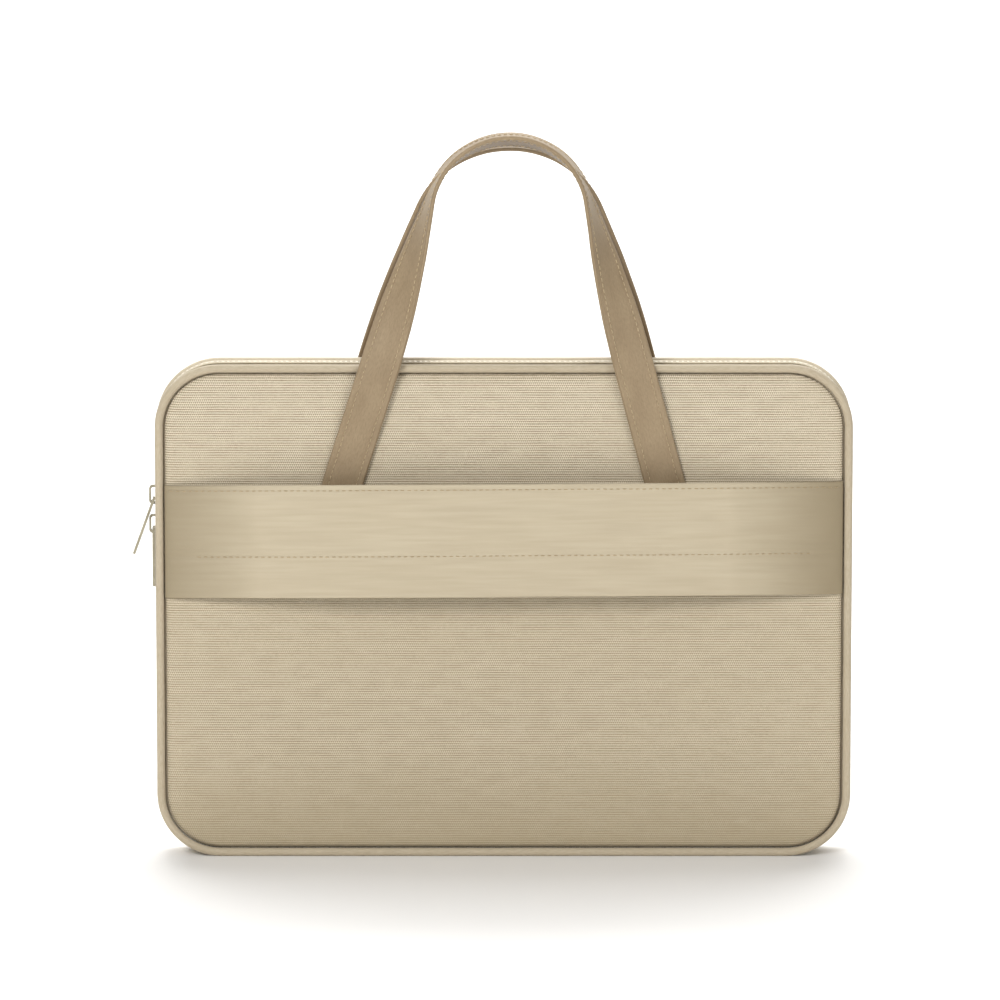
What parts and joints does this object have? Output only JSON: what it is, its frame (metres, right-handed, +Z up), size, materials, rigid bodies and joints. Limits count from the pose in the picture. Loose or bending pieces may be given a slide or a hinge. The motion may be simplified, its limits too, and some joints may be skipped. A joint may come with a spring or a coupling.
{
  "type": "laptop sleeve",
  "caption": "Padded laptop sleeve with twin carry handles, a trolley strap across the back, a two-way zip over the top and sides, and a zipped front pocket.",
  "frame": {"origin": "middle of the flat base that the sleeve stands on", "axes": "+X across the width, +Y from the trolley side to the front flap, +Z up"},
  "size_m": [0.3776, 0.0583, 0.3831],
  "materials": {
    "canvas": "woven canvas with fine ribs",
    "strap": "smooth coated fabric band",
    "handle": "coated fabric strap",
    "piping": "tight smooth welt",
    "lining": "soft brushed lining",
    "foam": "closed-cell foam",
    "cord": "soft filler cord",
    "tape": "woven zip tape",
    "coil": "satin nylon coil",
    "metal": "satin painted alloy"
  },
  "bodies": {
    "shell": {"rear_canvas": "canvas", "rear_foam": "foam", "rear_lining": "lining", "rear_piping": "piping", "rear_piping_cord": "cord", "rear_binding": "lining", "lower_gusset": "canvas", "lower_gusset_foam": "foam", "lower_gusset_lining": "lining", "lower_front_canvas": "canvas", "lower_front_foam": "foam", "lower_front_lining": "lining", "lower_front_piping": "piping", "lower_front_piping_cord": "cord", "lower_front_binding": "lining", "rear_zip_facing": "canvas", "rear_zip_tape": "tape", "rear_zip_coil": "coil", "zip_end_stops": "metal", "trolley_strap": "strap", "rear_handle_ends": "handle"},
    "flap": {"flap_canvas": "canvas", "flap_foam": "foam", "flap_lining": "lining", "flap_piping": "piping", "flap_piping_cord": "cord", "flap_binding": "lining", "flap_zip_facing": "canvas", "flap_zip_tape": "tape", "flap_zip_coil": "coil", "pocket_panel": "canvas", "pocket_zip_tape": "tape", "pocket_zip_coil": "coil", "pocket_zip_stops": "metal", "front_handle_ends": "handle"},
    "rear_handle": {"rear_handle_loop": "handle"},
    "front_handle": {"front_handle_loop": "handle"},
    "upper_slider": {"upper_slider": "metal"},
    "upper_pull": {"upper_pull": "metal"},
    "lower_slider": {"lower_slider": "metal"},
    "lower_pull": {"lower_pull": "metal"},
    "pocket_slider": {"pocket_slider": "metal"},
    "pocket_pull": {"pocket_pull": "metal"}
  },
  "joints": [
    {"name": "flap_fold", "type": "hinge", "parent": "shell", "child": "flap", "pos_m": [0, 0.019, 0.045], "axis": [-1, 0, 0], "range_deg": [0, 75]},
    {"name": "rear_handle_swing", "type": "hinge", "parent": "shell", "child": "rear_handle", "pos_m": [0, -0.0177, 0.202], "axis": [1, 0, 0], "range_deg": [0, 85]},
    {"name": "front_handle_swing", "type": "hinge", "parent": "flap", "child": "front_handle", "pos_m": [0, 0.0177, 0.202], "axis": [-1, 0, 0], "range_deg": [0, 150]},
    {"name": "upper_slider_run", "type": "slide", "parent": "shell", "child": "upper_slider", "axis": [0, 0, 1], "range_m": [0, 0.031]},
    {"name": "upper_pull_swing", "type": "hinge", "parent": "upper_slider", "child": "upper_pull", "pos_m": [-0.1838, 0, 0.1885], "axis": [0, 1, 0], "range_deg": [0, 130]},
    {"name": "lower_slider_run", "type": "slide", "parent": "shell", "child": "lower_slider", "axis": [0, 0, -1], "range_m": [0, 0.118]},
    {"name": "lower_pull_swing", "type": "hinge", "parent": "lower_slider", "child": "lower_pull", "pos_m": [-0.1838, 0, 0.173], "axis": [0, 1, 0], "range_deg": [0, 30]},
    {"name": "pocket_slider_run", "type": "slide", "parent": "flap", "child": "pocket_slider", "axis": [-1, 0, 0], "range_m": [0, 0.238]},
    {"name": "pocket_pull_swing", "type": "hinge", "parent": "pocket_slider", "child": "pocket_pull", "pos_m": [0.1163, 0.0228, 0.15], "axis": [0, 0, -1], "range_deg": [0, 150]}
  ]
}
